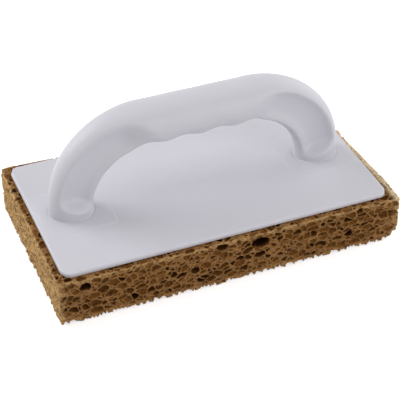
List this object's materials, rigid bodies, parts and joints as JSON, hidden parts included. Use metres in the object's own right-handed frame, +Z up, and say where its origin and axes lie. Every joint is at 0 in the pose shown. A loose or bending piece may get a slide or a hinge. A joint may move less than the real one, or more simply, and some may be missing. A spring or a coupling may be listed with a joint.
{
  "type": "grout sponge",
  "caption": "Sponge float for wiping grout: a flat plastic plate with a moulded loop handle, glued onto a thick open-pored cellulose sponge block.",
  "frame": {"origin": "middle of the sponge's wiping face, on the surface it rests on", "axes": "+X along the long side, from one handle foot to the other; +Y across the sponge; +Z up, from the sponge through the plate to the grip"},
  "size_m": [0.25, 0.139, 0.1146],
  "materials": {
    "white_plastic": "satin, fine moulded surface",
    "brown_cellulose": "matte, open-pored cellulose sponge"
  },
  "bodies": {
    "root": {"handle_plate": "white_plastic", "sponge_pad": "brown_cellulose"}
  },
  "joints": []
}
